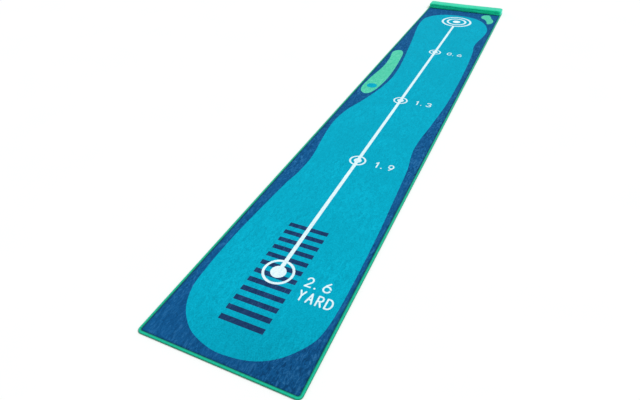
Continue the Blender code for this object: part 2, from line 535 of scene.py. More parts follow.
@dataclass(frozen=True)
class OpenCellFoam:
    """Slabstock polyurethane foam: cream, matt and dry, with open cells that are darker inside.

    Attributes:
        cell: the size of a cell.
        cloud: how wide the slow changes of tone are.
    """

    cell: float = 1.1 * MM
    cloud: float = 60 * MM

    def build(self) -> bpy.types.Material:
        """Build the material."""
        draft = Draft.start("open_cell_polyurethane_foam", Specular_IOR_Level=0.1)
        tree, place = draft.tree, draft.place
        cells = add(tree, "ShaderNodeTexVoronoi", {"Vector": place, "Scale": 1 / self.cell})
        clouds = add(tree, "ShaderNodeTexNoise", {"Vector": place, "Scale": 1 / self.cloud})
        depth = add(tree, "ShaderNodeMapRange", {0: cells, 1: 0.05, 2: 0.5})
        tint = blend(tree, depth, colour("#A89D80"), colour("#EBE3CC"))
        share = remap(tree, clouds, 0.3, 0.7, 0.94, 1.04)
        tint = shaded(tree, tint, share)
        roughness = remap(tree, cells, 0.0, 0.5, 1.0, 0.85)
        return draft.finish(tint, roughness, depth, relief=0.5 * MM)


@dataclass(frozen=True)
class StudioPaper:
    """Seamless white background paper, matt and very slightly mottled.

    Attributes:
        tint: its colour.
        mottle: how wide its faint blotches are.
    """

    tint: str = "#F7F8F8"
    mottle: float = 300 * MM

    def build(self) -> bpy.types.Material:
        """Build the material."""
        draft = Draft.start("seamless_paper", Specular_IOR_Level=0.0)
        tree = draft.tree
        scale = 1 / self.mottle
        mottle = add(tree, "ShaderNodeTexNoise", {"Vector": draft.place, "Scale": scale, "Detail": 4.0})
        share = remap(tree, mottle, 0.3, 0.7, 0.985, 1.0)
        tint = shaded(tree, colour(self.tint)[:3], share)
        roughness = remap(tree, mottle, 0.3, 0.7, 0.9, 1.0)
        return draft.finish(tint, roughness, mottle, relief=0.01 * MM)


# ---------------------------------------------------------------------------------------------------------
# Repeats, made by Geometry Nodes
# ---------------------------------------------------------------------------------------------------------


class Spread(Enum):
    """How a repeated shape is laid out."""

    PATH = "along_path"
    PATCH = "over_patch"


class RepeatTree:
    """A Geometry Nodes tree that repeats one shape along a path or over a patch of points.

    The repeated shape's X runs along the path, and its Z points the way that "Up" says. The host's own mesh
    stays underneath, and the result is realized and dressed in one material.
    """

    NUMBERS = {"Pitch": 0.003, "Tilt": 0.05, "Size Spread": 0.05}

    def __init__(self, spread: Spread) -> None:
        """Build the tree.

        Args:
            spread: whether the shape follows a path or stands on a patch of points.
        """
        self.tree = bpy.data.node_groups.new(f"repeat_{spread.value}", "GeometryNodeTree")
        self.sockets: dict[str, str] = {}
        self.declare("Base", "NodeSocketGeometry")
        for name in ("Layout", "Shape"):
            self.declare(name, "NodeSocketObject")
        for name, usual in self.NUMBERS.items():
            self.declare(name, "NodeSocketFloat", usual)
        self.declare("Up", "NodeSocketVector", (0.0, 0.0, 1.0))
        self.declare("Seed", "NodeSocketInt", 1)
        self.declare("Finish", "NodeSocketMaterial")
        self.tree.interface.new_socket("Result", in_out="OUTPUT", socket_type="NodeSocketGeometry")
        self.wire(spread)

    def declare(self, name: str, kind: str, usual: Any = None) -> None:
        """Give the tree one named input.

        Args:
            name: the input's name.
            kind: its socket type.
            usual: its default value, if it has one.
        """
        item = self.tree.interface.new_socket(name, in_out="INPUT", socket_type=kind)
        if usual is not None:
            item.default_value = usual
        self.sockets[name] = item.identifier

    def wire(self, spread: Spread) -> None:
        """Lay out the tree's nodes.

        Args:
            spread: whether the shape follows a path or stands on a patch of points.
        """
        tree = self.tree
        given = add(tree, "NodeGroupInput").outputs
        layout = add(tree, "GeometryNodeObjectInfo", {"Object": given["Layout"]}).outputs["Geometry"]
        shape = add(tree, "GeometryNodeObjectInfo", {"Object": given["Shape"]}).outputs["Geometry"]
        if spread is Spread.PATH:
            curve = add(tree, "GeometryNodeMeshToCurve", {"Mesh": layout})
            points = add(tree, "GeometryNodeResampleCurve", {0: curve, 3: given["Pitch"]}, mode="LENGTH")
            along = add(tree, "GeometryNodeInputTangent")
        else:
            points = add(tree, "GeometryNodeMeshToPoints", {"Mesh": layout})
            along = (1.0, 0.0, 0.0)
        facing = add(
            tree,
            "FunctionNodeAxesToRotation",
            {"Primary Axis": along, "Secondary Axis": given["Up"]},
            primary_axis="X",
            secondary_axis="Z",
        )
        back = add(tree, "ShaderNodeMath", {0: given["Tilt"], 1: -1.0}, operation="MULTIPLY")
        lean = add(
            tree,
            "FunctionNodeRandomValue",
            {"Min": back, "Max": given["Tilt"], "Seed": given["Seed"]},
            data_type="FLOAT_VECTOR",
        )
        lean = add(tree, "FunctionNodeEulerToRotation", {"Euler": lean})
        turned = add(tree, "FunctionNodeRotateRotation", {0: facing, 1: lean}, rotation_space="LOCAL")
        least = add(tree, "ShaderNodeMath", {0: 1.0, 1: given["Size Spread"]}, operation="SUBTRACT")
        size = add(tree, "FunctionNodeRandomValue", {"Min": least, "Max": 1.0, "Seed": given["Seed"]})
        copies = add(
            tree,
            "GeometryNodeInstanceOnPoints",
            {"Points": points, "Instance": shape, "Rotation": turned, "Scale": size},
        )
        shade_seed = add(tree, "ShaderNodeMath", {0: given["Seed"], 1: 1.0}, operation="ADD")
        shade = add(tree, "FunctionNodeRandomValue", {"Min": 0.0, "Max": 1.0, "Seed": shade_seed})
        tagged = add(
            tree,
            "GeometryNodeStoreNamedAttribute",
            {"Geometry": copies, "Name": "strand", "Value": shade},
            data_type="FLOAT",
            domain="INSTANCE",
        )
        joined = add(tree, "GeometryNodeJoinGeometry", {"Geometry": given["Base"]})
        tree.links.new(tagged.outputs[0], joined.inputs[0])
        solid = add(tree, "GeometryNodeRealizeInstances", {"Geometry": joined})
        dressed = add(tree, "GeometryNodeSetMaterial", {"Geometry": solid, "Material": given["Finish"]})
        add(tree, "NodeGroupOutput", {"Result": dressed})

    def run(self, name: str, base: bpy.types.Mesh | None, **inputs: Any) -> bpy.types.Object:
        """Repeat a shape over a base mesh and return the result as a plain mesh object.

        Args:
            name: the new piece's name.
            base: the mesh that lies under the copies, or None for copies alone.
            inputs: the tree's inputs by name, with underscores for spaces.

        Returns:
            The piece, with no modifier left on it.
        """
        host = bpy.data.objects.new(name, base or bpy.data.meshes.new(name))
        modifier = host.modifiers.new("repeat", "NODES")
        modifier.node_group = self.tree
        for key, value in inputs.items():
            modifier[self.sockets[key.replace("_", " ")]] = value
        bpy.context.scene.collection.objects.link(host)
        return settle_modifiers(host)


def settle_modifiers(piece: bpy.types.Object) -> bpy.types.Object:
    """Turn what an object's modifiers make of it into its plain mesh, and remove them."""
    graph = bpy.context.evaluated_depsgraph_get()
    mesh = bpy.data.meshes.new_from_object(
        piece.evaluated_get(graph), preserve_all_data_layers=True, depsgraph=graph
    )
    piece.modifiers.clear()
    mesh.name = piece.name
    piece.data = mesh
    return piece


def loft(name: str, rings: Sequence[Sequence[Sequence[float]]]) -> bpy.types.Mesh:
    """Join rings of equally many points into one closed skin, with a face across each end.

    Args:
        name: the mesh's name.
        rings: the rings' points, in metres, each ring in the same order.

    Returns:
        The mesh.
    """
    size = len(rings[0])
    faces = [
        (row + i, row + (i + 1) % size, row + size + (i + 1) % size, row + size + i)
        for row in range(0, size * (len(rings) - 1), size)
        for i in range(size)
    ]
    last = size * (len(rings) - 1)
    faces += [tuple(range(size)), tuple(range(last, last + size))]
    return new_mesh(name, [point for ring in rings for point in ring], faces)


def tube(path: Sequence[Vector], width: float, thickness: float, sides: int) -> bpy.types.Mesh:
    """A closed tube of oval section along a path, its width lying along X where the path allows it.

    Args:
        path: the tube's centre line.
        width: the section's full width along X.
        thickness: the section's full thickness.
        sides: how many sides the section has.

    Returns:
        The tube's mesh.
    """
    rings = []
    for index, centre in enumerate(path):
        run = (path[min(index + 1, len(path) - 1)] - path[max(index - 1, 0)]).normalized()
        across = Vector((1.0, 0.0, 0.0)) if abs(run.x) < 0.9 else Vector((0.0, 1.0, 0.0))
        across = (across - run * across.dot(run)).normalized() * width / 2
        out = run.cross(across).normalized() * thickness / 2
        turns = (math.tau * side / sides for side in range(sides))
        rings.append([centre + across * math.cos(turn) + out * math.sin(turn) for turn in turns])
    return loft("tube", rings)


def tag_points(mesh: bpy.types.Mesh, name: str, values: Iterable[float]) -> bpy.types.Mesh:
    """Store one number for each of a mesh's points under a name that a material reads."""
    mesh.attributes.new(name, "FLOAT", "POINT").data.foreach_set("value", np.fromiter(values, np.float32))
    return mesh


def line_object(name: str, points: Sequence[Sequence[float]], closed: bool = False) -> bpy.types.Object:
    """A row of points joined by edges, for a path that shapes are repeated along.

    Args:
        name: the object's name.
        points: the path's points, in metres.
        closed: whether its end joins its start.

    Returns:
        The object, which is a helper and is discarded after use.
    """
    mesh = bpy.data.meshes.new(name)
    count = len(points)
    edges = [(i, (i + 1) % count) for i in range(count - (not closed))]
    mesh.from_pydata([tuple(p) for p in points], edges, [])
    return new_object(name, mesh)


# ---------------------------------------------------------------------------------------------------------
# Outlines
# ---------------------------------------------------------------------------------------------------------


def rounded_outline(
    half_x: float, half_y: float, radius: float, steps: int = 8, far_radius: float | None = None
) -> list[Point]:
    """A rounded rectangle about the origin, anticlockwise.

    Args:
        half_x: half its width.
        half_y: half its length.
        radius: the radius of its corners, or 0 for sharp ones.
        steps: how many pieces each corner's arc has.
        far_radius: the radius of its two far corners, where it differs.

    Returns:
        Its points.
    """
    points = []
    for quarter, (right, far) in enumerate(((1, -1), (1, 1), (-1, 1), (-1, -1))):
        turn = radius if far < 0 or far_radius is None else far_radius
        for step in range(steps + 1) if turn > 0 else (0,):
            angle = math.pi / 2 * (quarter - 1 + step / steps)
            x = right * (half_x - turn) + turn * math.cos(angle)
            points.append((x, far * (half_y - turn) + turn * math.sin(angle)))
    return points


def subdivide(loop: Sequence[Point], longest: float) -> list[Point]:
    """Add points along a closed outline, so that none of its sides is longer than the given length.

    Args:
        loop: the outline.
        longest: the longest side allowed.

    Returns:
        The same outline with more points.
    """
    result = []
    for (ax, ay), (bx, by) in zip(loop, [*loop[1:], loop[0]]):
        count = max(1, math.ceil(math.dist((ax, ay), (bx, by)) / longest))
        result += [(ax + (bx - ax) * k / count, ay + (by - ay) * k / count) for k in range(count)]
    return result


def smooth_loop(knots: Sequence[Point], spacing: float) -> list[Point]:
    """A closed smooth curve through some points.

    Args:
        knots: the points that it passes through, in order.
        spacing: the distance between the curve's own points.

    Returns:
        The curve's points.
    """
    curve, count = [], len(knots)
    for index in range(count):
        before, start, end, after = (Vector(knots[(index + k) % count]) for k in (-1, 0, 1, 2))
        steps = max(2, round((end - start).length / spacing))
        for t in (step / steps for step in range(steps)):
            bend = (2 * before - 5 * start + 4 * end - after) * t * t
            twist = (3 * start - before - 3 * end + after) * t**3
            curve.append(tuple((2 * start + (end - before) * t + bend + twist) / 2))
    return curve


def oval(centre: Point, radii: Point, start: float = 0.0, end: float = 360.0) -> list[Point]:
    """Points on an oval, or on an arc of it.

    Args:
        centre: its centre.
        radii: its radii across and along.
        start: the angle of the first point, in degrees.
        end: the angle of the last point, which a whole oval leaves out.

    Returns:
        The points.
    """
    steps = max(4, round(abs(end - start) / 12))
    turns = [math.radians(start + (end - start) * k / steps) for k in range(steps + (abs(end - start) < 360))]
    return [(centre[0] + radii[0] * math.cos(turn), centre[1] + radii[1] * math.sin(turn)) for turn in turns]


def stroke(path: Sequence[Point], width: float) -> list[Point]:
    """The outline of a line of even width with round ends.

    Args:
        path: the line's centre.
        width: its width.

    Returns:
        The outline's points.
    """
    line = np.asarray(path, float)
    run = np.gradient(line, axis=0)
    run *= width / 2 / np.linalg.norm(run, axis=1, keepdims=True)
    side = np.stack((-run[:, 1], run[:, 0]), axis=1)
    turns = [math.pi * k / 6 for k in range(1, 6)]
    end = [line[-1] - side[-1] * math.cos(t) + run[-1] * math.sin(t) for t in turns]
    start = [line[0] + side[0] * math.cos(t) - run[0] * math.sin(t) for t in turns]
    return [tuple(p) for p in (*(line - side), *end, *(line + side)[::-1], *start)]


def inside(points: np.ndarray, loop: Sequence[Point]) -> np.ndarray:
    """Find which points lie inside a closed outline.

    Args:
        points: the points, a row for each.
        loop: the outline.

    Returns:
        True or False for each point.
    """
    outline = np.asarray(loop, float)
    found = np.zeros(len(points), bool)
    near = np.flatnonzero(((points >= outline.min(0)) & (points <= outline.max(0))).all(axis=1))
    x, y = points[near].T
    odd = np.zeros(len(near), bool)
    for (ax, ay), (bx, by) in zip(outline, np.roll(outline, -1, axis=0)):
        if ay != by:
            odd ^= ((ay > y) != (by > y)) & (x < (bx - ax) * (y - ay) / (by - ay) + ax)
    found[near] = odd
    return found


def plate(
    name: str,
    centre: Point,
    half: Point,
    radii: Point,
    levels: Sequence[tuple[float, float]],
    steps: int = 8,
) -> bpy.types.Mesh:
    """A closed slab with a rounded outline, whose sides follow given insets at given heights.

    Args:
        name: the mesh's name.
        centre: the middle of its outline.
        half: half its width and half its length.
        radii: the radius of its two near corners and of its two far ones.
        levels: how far its side is drawn in at each height, from one face to the other.
        steps: how many pieces each corner's arc has.

    Returns:
        The mesh.
    """
    rings = []
    for inset, height in levels:
        outline = rounded_outline(half[0] - inset, half[1] - inset, radii[0] - inset, steps, radii[1] - inset)
        rings.append([(centre[0] + x, centre[1] + y, height) for x, y in outline])
    return loft(name, rings)


class Side(Enum):
    """The mat's four sides, each by the way that an anticlockwise walk goes along it."""

    NEAR = (1, 0)
    RIGHT = (0, 1)
    FAR = (-1, 0)
    LEFT = (0, -1)


@dataclass(frozen=True)
class MatPlan:
    """The mat's outline, which its cloth, its hem and its print share.

    Attributes:
        half_width: half the mat's width over its edge.
        half_length: half its length over its edge.
        corner: the radius of its corners.
    """

    half_width: float
    half_length: float
    corner: float = 15 * MM

    @classmethod
    def read(cls) -> "MatPlan":
        """Take the mat's size from the frame."""
        return cls(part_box("edge_overlock_right")[1].x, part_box("edge_overlock_far")[1].y)

    def outline(self, inset: float) -> list[Point]:
        """The mat's outline, drawn in from its edge by the given distance."""
        radius = max(self.corner - inset, 0.0)
        return rounded_outline(self.half_width - inset, self.half_length - inset, radius)

    def inset_of(self, x: float, y: float) -> float:
        """How far inside the mat's edge a place is."""
        across = abs(x) - self.half_width + self.corner
        along = abs(y) - self.half_length + self.corner
        outside = math.hypot(max(across, 0.0), max(along, 0.0))
        return self.corner - outside - min(max(across, along), 0.0)

    def run(self, side: Side, spacing: float) -> list[tuple[Vector, Vector]]:
        """Walk along one side of the mat, from the middle of one corner to the middle of the next.

        Args:
            side: the side.
            spacing: the distance between places on its straight part.

        Returns:
            At each place, the point on the edge and the direction that points into the mat.
        """
        ahead = Vector((*side.value, 0.0))
        inward = Vector((-ahead.y, ahead.x, 0.0))
        reach, depth = self.half_width - self.corner, self.half_length - self.corner
        if side in (Side.RIGHT, Side.LEFT):
            reach, depth = depth, reach
        arc = [math.pi / 4 * k / 4 for k in range(4, 0, -1)]
        places = [(-reach, -turn) for turn in arc]
        count = round(2 * reach / spacing)
        places += [(reach * (2 * k / count - 1), 0.0) for k in range(count + 1)]
        places += [(reach, turn) for turn in reversed(arc)]
        result = []
        for along, turn in places:
            facing = inward * math.cos(turn) - ahead * math.sin(turn)
            result.append((ahead * along - inward * depth - facing * self.corner, facing))
        return result


# ---------------------------------------------------------------------------------------------------------
# The print
# ---------------------------------------------------------------------------------------------------------


@dataclass(frozen=True)
class Patch:
    """One printed shape, which covers what was printed before it.

    Attributes:
        ink: its dye.
        outline: its outline, in metres from the middle of the mat.
        hole: the outline of the hole in it, if it has one.
    """

    ink: Ink
    outline: Sequence[Point]
    hole: Sequence[Point] = ()

    def covers(self, points: np.ndarray) -> np.ndarray:
        """Find which points the shape covers."""
        covered = inside(points, self.outline)
        return covered & ~inside(points, self.hole) if len(self.hole) else covered


@dataclass(frozen=True)
class Lettering:
    """Plain round-ended block figures and capitals, all on one width of cell.

    Attributes:
        height: how tall a figure is.
        line: how thick its line is.
        pitch: the distance between the middles of two figures.
        point_shift: how far to the left of its cell's middle a decimal point stands.
    """

    height: float = 39 * MM
    line: float = 5 * MM
    pitch: float = 28 * MM
    point_shift: float = 6 * MM

    # How wide each figure is for its height.
    SHARES = {
        "0": 0.6, "1": 0.2, "2": 0.5, "3": 0.54, "6": 0.62, "9": 0.53,
        "Y": 0.44, "A": 0.5, "R": 0.44, "D": 0.53,
    }

    @staticmethod
    def strokes(figure: str) -> list[list[Point]]:
        """The lines that a figure is drawn with, in a box from 0 to 1 each way.

        Args:
            figure: a figure or a capital.

        Returns:
            Its lines.
        """
        six = [oval((0.5, 0.32), (0.5, 0.32), 0, 359), [(0.68, 1.0), (0.25, 0.72), (0.06, 0.46)]]
        return {
            "0": [oval((0.5, 0.5), (0.5, 0.5), 0, 359)],
            "1": [[(0.0, 0.8), (1.0, 1.0)], [(1.0, 1.0), (1.0, 0.0)]],
            "2": [[*oval((0.5, 0.7), (0.5, 0.3), 170, -30), (0.0, 0.0)], [(0.0, 0.0), (1.0, 0.0)]],
            "3": [oval((0.45, 0.76), (0.48, 0.24), 155, -90), oval((0.45, 0.26), (0.55, 0.26), 90, -155)],
            "6": six,
            "9": [[(1 - x, 1 - y) for x, y in each] for each in six],
            "Y": [[(0.0, 1.0), (0.5, 0.48)], [(1.0, 1.0), (0.5, 0.48)], [(0.5, 0.48), (0.5, 0.0)]],
            "A": [[(0.0, 0.0), (0.5, 1.0)], [(0.5, 1.0), (1.0, 0.0)], [(0.18, 0.36), (0.82, 0.36)]],
            "R": [
                [(0.0, 0.0), (0.0, 1.0)],
                [(0.0, 1.0), *oval((0.55, 0.75), (0.45, 0.25), 90, -90), (0.0, 0.5)],
                [(0.45, 0.5), (1.0, 0.0)],
            ],
            "D": [
                [(0.0, 0.0), (0.0, 1.0)],
                [(0.0, 1.0), *oval((0.35, 0.5), (0.65, 0.5), 90, -90), (0.0, 0.0)],
            ],
        }[figure]

    def write(self, words: str, x: float, y: float) -> list[Patch]:
        """Set a word or a number.

        Args:
            words: what to write.
            x: the middle of the first figure.
            y: the foot of the line.

        Returns:
            The printed shapes.
        """
        patches = []
        tall = self.height - self.line
        for index, figure in enumerate(words):
            middle = x + index * self.pitch
            if figure == ".":
                spot = (middle - self.point_shift, y + self.line * 0.6)
                patches.append(Patch(Ink.WHITE, oval(spot, (self.line * 0.6, self.line * 0.6))))
                continue
            wide = tall * self.SHARES[figure]
            for path in self.strokes(figure):
                placed = [(middle + (u - 0.5) * wide, y + self.line / 2 + v * tall) for u, v in path]
                patches.append(Patch(Ink.WHITE, stroke(placed, self.line)))
        return patches


@dataclass(frozen=True)
class Artwork:
    """What is printed on the cloth: a fairway with two greens on a deep blue surround, and putting marks.

    Lengths are in metres. A place is given by how far it lies right of the middle line and how far from the
    mat's near edge.

    Attributes:
        plan: the mat's outline.
        target_inset: how far the target's middle is from the mat's far edge.
        target: the radii of the target's rings, outer then inner, and of its spot.
        distances: the yards from the target at which the marks stand, with the radii of each mark.
        line: the width of the putting line.
        stance: the bars at the near end: the farthest bar's place, the step to the next, and how many.
        bar: half the length and half the thickness of a bar.
    """

    plan: MatPlan
    target_inset: float = 296.7 * MM
    target: tuple[float, ...] = (92 * MM, 80 * MM, 61 * MM, 49 * MM, 23 * MM)
    distances: tuple[tuple[str, Point, tuple[float, ...]], ...] = (
        ("0.6", (79 * MM, 2148 * MM), (33 * MM, 26 * MM, 15 * MM)),
        ("1.3", (76.5 * MM, 1510 * MM), (33 * MM, 26 * MM, 15 * MM)),
        ("1.9", (76.5 * MM, 957 * MM), (33 * MM, 26 * MM, 15 * MM)),
        ("2.6", (101.5 * MM, 316 * MM), (49.5 * MM, 41.5 * MM, 24 * MM)),
    )
    unit: tuple[str, Point] = ("YARD", (101 * MM, 263 * MM))
    line: float = 13 * MM
    stance: tuple[float, float, int] = (539 * MM, 36.95 * MM, 12)
    bar: Point = (68 * MM, 9 * MM)

    def place(self, *places: Point) -> list[Point]:
        """Turn places in millimetres from the near edge into the frame's metres."""
        return [(x * MM, y * MM - self.plan.half_length) for x, y in places]

    def fairway(self) -> list[Patch]:
        """The winding fairway."""
        right = (
            *((4, 32), (54, 38), (94, 50), (129, 70), (161, 100), (194, 148), (208, 190), (215, 260)),
            *((216, 400), (212, 600), (206, 735), (198, 900), (192, 995), (178, 1095), (175, 1155)),
            *((178, 1230), (187, 1330), (197, 1460), (204, 1580), (206, 1780), (204, 1960), (199, 2120)),
            *((191, 2253), (183, 2308), (182, 2355), (187, 2410), (195, 2462), (202, 2515), (206, 2567)),
            *((205, 2620), (195, 2670), (176, 2722), (147, 2771), (116, 2802), (82, 2822), (39, 2834)),
        )
        left = (
            *((-11, 2838), (-61, 2834), (-106, 2821), (-146, 2797), (-178, 2762), (-201, 2713)),
            *((-208, 2660), (-208, 2608), (-203, 2535), (-193, 2460), (-178, 2358), (-166, 2275)),
            *((-151, 2160), (-138, 2058), (-126, 1960), (-117, 1860), (-114, 1765), (-119, 1685)),
            *((-129, 1610), (-144, 1535), (-161, 1464), (-181, 1395), (-195, 1342), (-204, 1275)),
            *((-206, 1205), (-200, 1130), (-187, 1033), (-176, 958), (-172, 900), (-175, 810)),
            *((-185, 733), (-197, 550), (-203, 430), (-204, 330), (-202, 260), (-198, 202), (-187, 160)),
            *((-168, 120), (-143, 89), (-111, 62), (-71, 44), (-31, 34)),
        )
        return [Patch(Ink.FAIRWAY, smooth_loop(self.place(*right, *left), 9 * MM))]

    def greens(self) -> list[Patch]:
        """The two small greens in the surround, the left one with a pond in it."""
        left = (
            *((-178, 1533), (-158, 1549), (-144, 1600), (-135, 1686), (-133, 1781), (-138, 1886)),
            *((-146, 1986), (-154, 2058), (-164, 2098), (-182, 2119), (-204, 2110), (-216, 2081)),
            *((-212, 2036), (-204, 1986), (-200, 1911), (-202, 1836), (-210, 1761), (-216, 1686)),
            *((-219, 1621), (-214, 1574), (-200, 1545)),
        )
        right = (
            *((189, 2741), (206, 2759), (213, 2794), (206, 2829), (194, 2850), (184, 2884), (172, 2913)),
            *((154, 2914), (137, 2902), (127, 2872), (134, 2842), (156, 2822), (174, 2785), (180, 2752)),
        )
        pond = self.place((-177, 1626))[0]
        shapes = [Patch(Ink.GREEN, smooth_loop(self.place(*each), 7 * MM)) for each in (left, right)]
        return [*shapes, Patch(Ink.FAIRWAY, oval(pond, (25 * MM, 25 * MM)))]

    def bars(self) -> list[Patch]:
        """The dark stance bars across the near end."""
        first, step, count = self.stance
        shapes = []
        for y in (first - step * index - self.plan.half_length for index in range(count)):
            dx, dy = self.bar
            outline = [(-dx, y - dy), (dx, y - dy), (dx, y + dy), (-dx, y + dy)]
            shapes.append(Patch(Ink.BARS, subdivide(outline, 8 * MM)))
        return shapes

    def rings(self, y: float, radii: Sequence[float]) -> list[Patch]:
        """Rings on the middle line.

        Args:
            y: where their middle is, in the frame's metres.
            radii: outer and inner radius of each ring, and the spot's radius last.

        Returns:
            The printed shapes.
        """
        circles = [oval((0.0, y), (radius, radius)) for radius in radii]
        pairs = [Patch(Ink.WHITE, outer, inner) for outer, inner in zip(circles[:-1:2], circles[1::2])]
        return [*pairs, Patch(Ink.WHITE, circles[-1])]

    def putting_marks(self) -> list[Patch]:
        """The target, the line to it, the distance marks and their figures."""
        goal = self.plan.half_length - self.target_inset
        start = goal - max(float(words) for words, _, _ in self.distances) * YARD
        end = goal - self.target[0]
        half = self.line / 2
        line = subdivide([(-half, start), (half, start), (half, end), (-half, end)], 8 * MM)
        shapes = [*self.rings(goal, self.target), Patch(Ink.WHITE, line)]
        font = Lettering()
        for words, (x, y), radii in self.distances:
            shapes += self.rings(goal - float(words) * YARD, radii)
            shapes += font.write(words, x, y - self.plan.half_length)
        words, (x, y) = self.unit
        return [*shapes, *font.write(words, x, y - self.plan.half_length)]

    def patches(self) -> list[Patch]:
        """Every printed shape, in the order in which it covers the others."""
        return [*self.fairway(), *self.greens(), *self.bars(), *self.putting_marks()]


# ---------------------------------------------------------------------------------------------------------
# The mat
# ---------------------------------------------------------------------------------------------------------


@dataclass(frozen=True)
class PileCloth:
    """The printed cloth: a thin sheet that the hem presses down all round.

    Attributes:
        plan: the mat's outline.
        artwork: what is printed on it.
        rim: how far its cut edge is inside the hem.
        underside: the height of its underside.
        top: the usual height of its pile.
        pressed: the height of its pile under the hem.
        pressed_width: how far in from the mat's edge the hem presses it.
        recovery: how far in the pile stands at its usual height again.
        relief: how far its slow unevenness goes up and down.
        grain: the spacing of its mesh.
    """

    plan: MatPlan
    artwork: Artwork
    rim: float = 1.0 * MM
    underside: float = 2.7 * MM
    top: float = 4.3 * MM
    pressed: float = 3.85 * MM
    pressed_width: float = 8.6 * MM
    recovery: float = 12.0 * MM
    relief: float = 0.16 * MM
    grain: float = 11 * MM

    def height(self, x: float, y: float) -> float:
        """The height of the pile at a place."""
        rise = smooth_step(self.pressed_width, self.recovery, self.plan.inset_of(x, y))
        uneven = 0.7 * wave((x, y, 0.0), 45 * MM, 3.0) + 0.5 * wave((x, 0.4 * y, 0.0), 110 * MM, 8.0)
        return self.pressed + (self.top - self.pressed + self.relief * uneven) * rise

    def painted_shade_share(self, x: float, y: float, foot: float) -> float:
        """How much painted shade a place takes, from 0 to 1.

        Args:
            x: the place across the mat.
            y: the place along it.
            foot: where the bumper's front stands.

        Returns:
            1 under the hem for painted shade, less in front of the bumper for a painted contact shadow, and
            painted shade at the near end that grows towards the right.
        """
        # Painted shade along the hem, where the pile is pressed down.
        hem = 1 - smooth_step(8.4 * MM, 15 * MM, self.plan.inset_of(x, y))
        # Painted contact shadow in a band in front of the bumper's foot.
        ahead, behind = smooth_step(-14 * MM, -1 * MM, y - foot), smooth_step(2 * MM, 10 * MM, y - foot)
        bumper = 0.25 * ahead * (1 - behind)
        # Painted shade towards the near end, darker to the right.
        near = 1 - smooth_step(20 * MM, 300 * MM, y + self.plan.half_length)
        return max(hem, bumper, near * (0.22 + 0.22 * x / self.plan.half_width))

    def field_points(self, taken: Sequence[Point]) -> list[Point]:
        """Even points over the cloth that keep clear of the outlines' own points.

        Args:
            taken: the outlines' points.

        Returns:
            The points between them.
        """
        tree = kdtree.KDTree(len(taken))
        for index, (x, y) in enumerate(taken):
            tree.insert((x, y, 0.0), index)
        tree.balance()
        points, row = [], 0
        y = -self.plan.half_length
        while y < self.plan.half_length:
            x = -self.plan.half_width + (row % 2) * self.grain / 2
            while x < self.plan.half_width:
                if self.plan.inset_of(x, y) > self.recovery and tree.find((x, y, 0.0))[2] > 0.4 * self.grain:
                    points.append((x, y))
                x += self.grain
            y, row = y + self.grain * math.sqrt(3) / 2, row + 1
        return points

    def build(self, materials: dict[Ink, bpy.types.Material]) -> bpy.types.Object:
        """Build and dress the cloth.

        Args:
            materials: the pile in each of the print's dyes.

        Returns:
            The piece.
        """
        patches = self.artwork.patches()
        hems = [
            subdivide(self.plan.outline(inset), 10 * MM)
            for inset in (self.rim, 8.0 * MM, self.pressed_width, 9.8 * MM, self.recovery, 15.0 * MM)
        ]
        loops = [*hems, *(loop for patch in patches for loop in (patch.outline, patch.hole) if len(loop))]
        points: list[Point] = []
        edges: list[tuple[int, int]] = []
        for loop in loops:
            first, count = len(points), len(loop)
            points += loop
            edges += [(first + k, first + (k + 1) % count) for k in range(count)]
        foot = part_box("bumper_side_band")[0].y
        # Rows of points in front of and under the bumper's foot carry the painted contact shadow.
        reach = self.plan.half_width - self.recovery
        for y in (foot - 16 * MM, foot - 9 * MM, foot - 4 * MM, foot, foot + 5 * MM, foot + 10 * MM):
            points += [(reach * (k / 21 - 1), y) for k in range(1, 42)]
        points += self.field_points(points)
        flat = [Vector((x / MM, y / MM)) for x, y in points]
        found = delaunay_2d_cdt(flat, edges, [], 0, 1e-4, True)
        spots = np.array([tuple(p) for p in found[0]]) * MM
        triangles = np.array([tuple(face) for face in found[2]])
        rim = [None] * len(hems[0])
        for index, sources in enumerate(found[3]):
            for source in sources:
                if source < len(rim):
                    rim[source] = index
        top = [(x, y, self.height(x, y)) for x, y in spots]
        bottom = [(*hems[0][k], self.underside) for k in range(len(rim))]
        under = [len(top) + k for k in range(len(rim))]
        sides = [(rim[k - 1], under[k - 1], under[k], rim[k]) for k in range(len(rim))]
        faces = [*triangles.tolist(), *sides, tuple(under[::-1])]
        mesh = new_mesh("printed_pile_cloth", [*top, *bottom], faces)

        inks = list(Ink)
        for ink in inks:
            mesh.materials.append(materials[ink])
        middles = spots[triangles].mean(axis=1)
        shade = np.zeros(len(mesh.polygons), np.int32)
        for patch in patches:
            shade[: len(triangles)][patch.covers(middles)] = inks.index(patch.ink)
        mesh.polygons.foreach_set("material_index", shade)
        # Painted shade: along the hem, a contact shadow in front of the bumper, and towards the near end.
        tag_points(mesh, "hem_shade", (self.painted_shade_share(x, y, foot) for x, y, _ in (*top, *bottom)))
        return finish_piece(new_object("pile_cloth", mesh), Body.MAT, ["printed_pile_cloth"])


